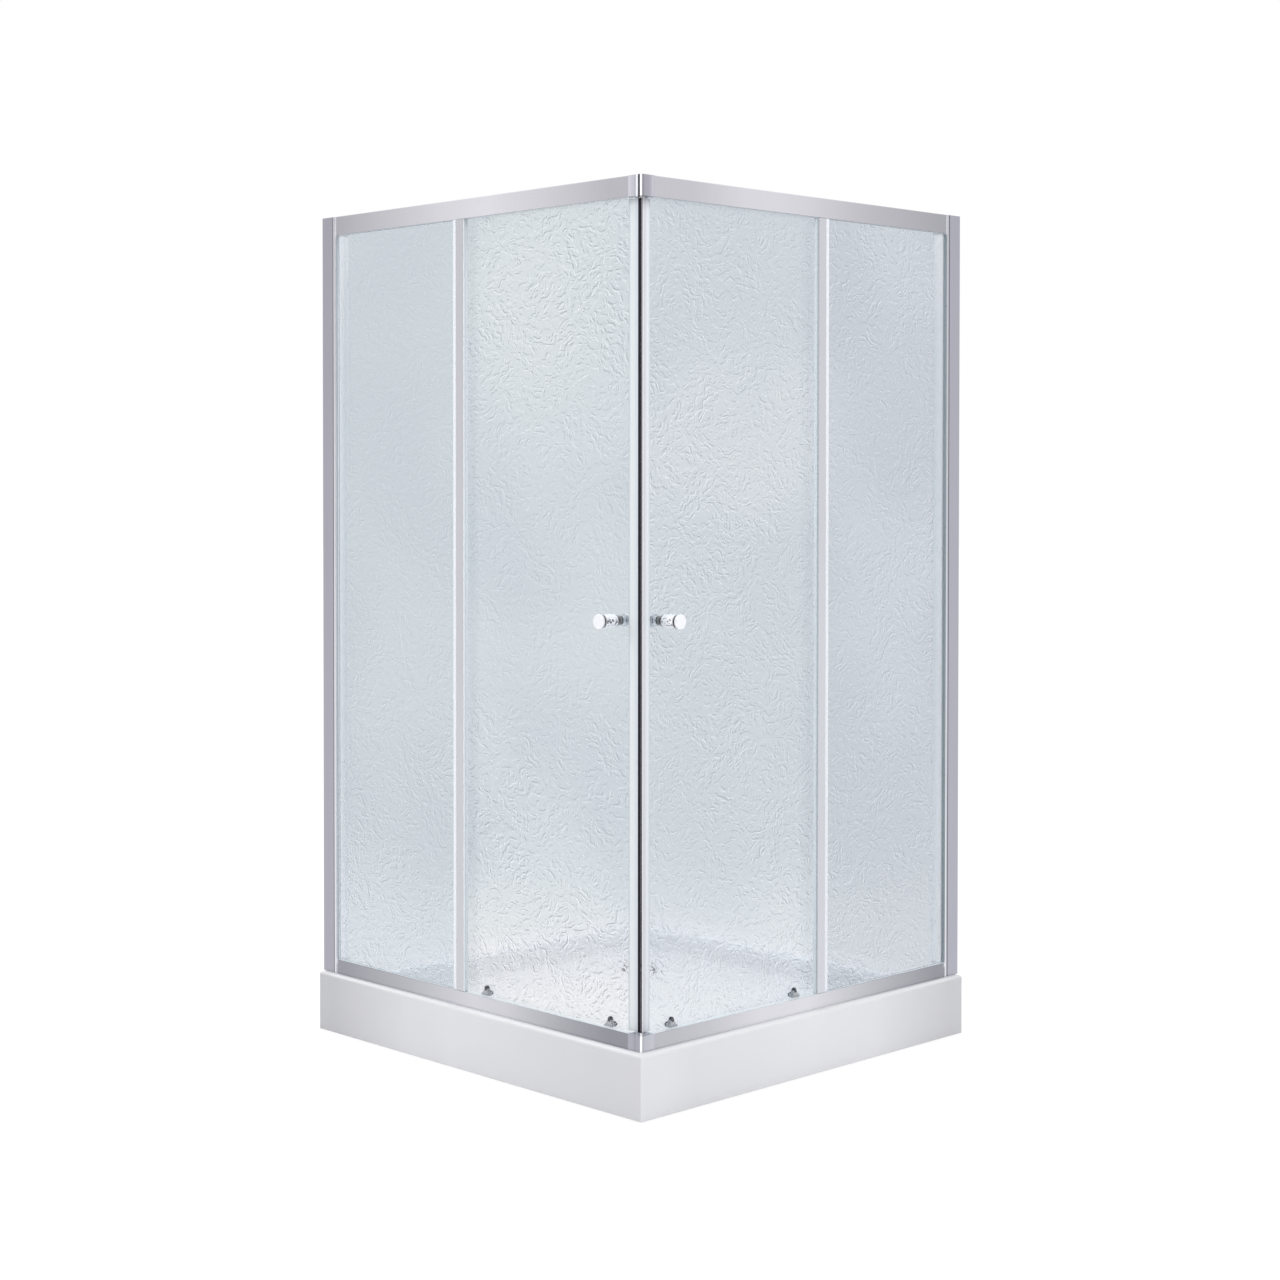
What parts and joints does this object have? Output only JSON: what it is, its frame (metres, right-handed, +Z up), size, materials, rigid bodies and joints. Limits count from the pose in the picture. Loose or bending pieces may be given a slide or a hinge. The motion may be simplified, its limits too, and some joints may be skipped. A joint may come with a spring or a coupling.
{
  "type": "shower cabin",
  "caption": "Square corner-entry shower cabin: low tray with skirt, framed fixed panes, sliding doors with knobs that meet at the corner, textured glass, drain and levelling feet.",
  "frame": {"origin": "on the floor at the centre of the square tray, under the middle levelling foot", "axes": "+Z up; the room's walls are at -X and +Y, so the entry corner points to +X, -Y"},
  "size_m": [1.0211, 1.0211, 1.787],
  "materials": {
    "tray_acrylic": "gloss white moulded shell",
    "board_wood": "bare board",
    "frame_steel": "grey powder coat",
    "zinc_steel": "zinc plated",
    "foot_plastic": "black plastic",
    "drain_chrome": "chrome",
    "black_rubber": "black rubber",
    "trap_plastic": "white plastic",
    "cap_metal": "satin silver",
    "white_pvc": "soft white plastic",
    "satin_aluminium": "satin anodised",
    "bright_aluminium": "bright satin",
    "glass": "bark-textured toughened glass",
    "grey_rubber": "dark grey rubber",
    "magnet": "black magnet strip",
    "knob_chrome": "chrome",
    "release_plastic": "dark grey plastic",
    "wheel_nylon": "white nylon"
  },
  "bodies": {
    "cabin": {"tray": "tray_acrylic", "tray_board": "board_wood", "tray_frame": "frame_steel", "foot_rods": "zinc_steel", "foot_pads": "foot_plastic", "drain_flange": "drain_chrome", "drain_cover": "drain_chrome", "drain_gasket": "black_rubber", "drain_trap": "trap_plastic", "corner_cap_top": "cap_metal", "corner_cap_bottom": "cap_metal", "frame_screws": "zinc_steel", "door_stops": "black_rubber", "stile_seals": "white_pvc", "front_wall_profile": "satin_aluminium", "front_jamb_profile": "bright_aluminium", "front_top_rail": "satin_aluminium", "front_bottom_rail": "satin_aluminium", "front_fixed_glass": "glass", "front_gasket": "grey_rubber", "front_stile": "satin_aluminium", "side_wall_profile": "satin_aluminium", "side_jamb_profile": "bright_aluminium", "side_top_rail": "satin_aluminium", "side_bottom_rail": "satin_aluminium", "side_fixed_glass": "glass", "side_gasket": "grey_rubber", "side_stile": "satin_aluminium"},
    "front_door": {"front_door_glass": "glass", "front_door_lead_seal": "white_pvc", "front_door_magnet": "magnet", "front_door_rear_seal": "white_pvc", "front_door_knob_outer": "knob_chrome", "front_door_knob_inner": "knob_chrome", "front_door_hangers": "zinc_steel", "front_door_holders": "knob_chrome", "front_spring_lead": "zinc_steel", "front_spring_trail": "zinc_steel"},
    "side_door": {"side_door_glass": "glass", "side_door_lead_seal": "white_pvc", "side_door_magnet": "magnet", "side_door_rear_seal": "white_pvc", "side_door_knob_outer": "knob_chrome", "side_door_knob_inner": "knob_chrome", "side_door_hangers": "zinc_steel", "side_door_holders": "knob_chrome", "side_spring_lead": "zinc_steel", "side_spring_trail": "zinc_steel"},
    "front_release_lead": {"front_release_lead": "release_plastic"},
    "front_release_trail": {"front_release_trail": "release_plastic"},
    "front_top_wheel_lead": {"front_top_wheel_lead": "wheel_nylon"},
    "front_top_wheel_trail": {"front_top_wheel_trail": "wheel_nylon"},
    "front_low_wheel_lead": {"front_low_wheel_lead": "wheel_nylon"},
    "front_low_wheel_trail": {"front_low_wheel_trail": "wheel_nylon"},
    "side_release_lead": {"side_release_lead": "release_plastic"},
    "side_release_trail": {"side_release_trail": "release_plastic"},
    "side_top_wheel_lead": {"side_top_wheel_lead": "wheel_nylon"},
    "side_top_wheel_trail": {"side_top_wheel_trail": "wheel_nylon"},
    "side_low_wheel_lead": {"side_low_wheel_lead": "wheel_nylon"},
    "side_low_wheel_trail": {"side_low_wheel_trail": "wheel_nylon"}
  },
  "joints": [
    {"name": "front_door_slide", "type": "slide", "parent": "cabin", "child": "front_door", "axis": [-1, 0, 0], "range_m": [0, 0.385]},
    {"name": "side_door_slide", "type": "slide", "parent": "cabin", "child": "side_door", "axis": [0, 1, 0], "range_m": [0, 0.385]},
    {"name": "front_release_lead_press", "type": "slide", "parent": "front_door", "child": "front_release_lead", "axis": [0, 0, -1], "range_m": [0, 0.0044], "stiffness_N_per_m": 700, "springref_m": -0.004, "deforming": ["front_spring_lead"]},
    {"name": "front_release_trail_press", "type": "slide", "parent": "front_door", "child": "front_release_trail", "axis": [0, 0, -1], "range_m": [0, 0.0044], "stiffness_N_per_m": 700, "springref_m": -0.004, "deforming": ["front_spring_trail"]},
    {"name": "front_top_wheel_lead_spin", "type": "hinge", "parent": "front_door", "child": "front_top_wheel_lead", "pos_m": [0.385, -0.4695, 1.7631], "axis": [0, 1, 0], "range_deg": [-2452, 0]},
    {"name": "front_top_wheel_trail_spin", "type": "hinge", "parent": "front_door", "child": "front_top_wheel_trail", "pos_m": [0.025, -0.4695, 1.7631], "axis": [0, 1, 0], "range_deg": [-2452, 0]},
    {"name": "front_low_wheel_lead_spin", "type": "hinge", "parent": "front_release_lead", "child": "front_low_wheel_lead", "pos_m": [0.385, -0.4695, 0.1463], "axis": [0, 1, 0], "range_deg": [0, 3678]},
    {"name": "front_low_wheel_trail_spin", "type": "hinge", "parent": "front_release_trail", "child": "front_low_wheel_trail", "pos_m": [0.025, -0.4695, 0.1463], "axis": [0, 1, 0], "range_deg": [0, 3678]},
    {"name": "side_release_lead_press", "type": "slide", "parent": "side_door", "child": "side_release_lead", "axis": [0, 0, -1], "range_m": [0, 0.0044], "stiffness_N_per_m": 700, "springref_m": -0.004, "deforming": ["side_spring_lead"]},
    {"name": "side_release_trail_press", "type": "slide", "parent": "side_door", "child": "side_release_trail", "axis": [0, 0, -1], "range_m": [0, 0.0044], "stiffness_N_per_m": 700, "springref_m": -0.004, "deforming": ["side_spring_trail"]},
    {"name": "side_top_wheel_lead_spin", "type": "hinge", "parent": "side_door", "child": "side_top_wheel_lead", "pos_m": [0.4695, -0.385, 1.7631], "axis": [1, 0, 0], "range_deg": [-2452, 0]},
    {"name": "side_top_wheel_trail_spin", "type": "hinge", "parent": "side_door", "child": "side_top_wheel_trail", "pos_m": [0.4695, -0.025, 1.7631], "axis": [1, 0, 0], "range_deg": [-2452, 0]},
    {"name": "side_low_wheel_lead_spin", "type": "hinge", "parent": "side_release_lead", "child": "side_low_wheel_lead", "pos_m": [0.4695, -0.385, 0.1463], "axis": [1, 0, 0], "range_deg": [0, 3678]},
    {"name": "side_low_wheel_trail_spin", "type": "hinge", "parent": "side_release_trail", "child": "side_low_wheel_trail", "pos_m": [0.4695, -0.025, 0.1463], "axis": [1, 0, 0], "range_deg": [0, 3678]}
  ],
  "couplings": [
    {"joint": "front_top_wheel_lead_spin", "follows": "front_door_slide", "rad_per_m": -111.11},
    {"joint": "front_top_wheel_trail_spin", "follows": "front_door_slide", "rad_per_m": -111.11},
    {"joint": "front_low_wheel_lead_spin", "follows": "front_door_slide", "rad_per_m": 166.67},
    {"joint": "front_low_wheel_trail_spin", "follows": "front_door_slide", "rad_per_m": 166.67},
    {"joint": "side_top_wheel_lead_spin", "follows": "side_door_slide", "rad_per_m": -111.11},
    {"joint": "side_top_wheel_trail_spin", "follows": "side_door_slide", "rad_per_m": -111.11},
    {"joint": "side_low_wheel_lead_spin", "follows": "side_door_slide", "rad_per_m": 166.67},
    {"joint": "side_low_wheel_trail_spin", "follows": "side_door_slide", "rad_per_m": 166.67}
  ]
}
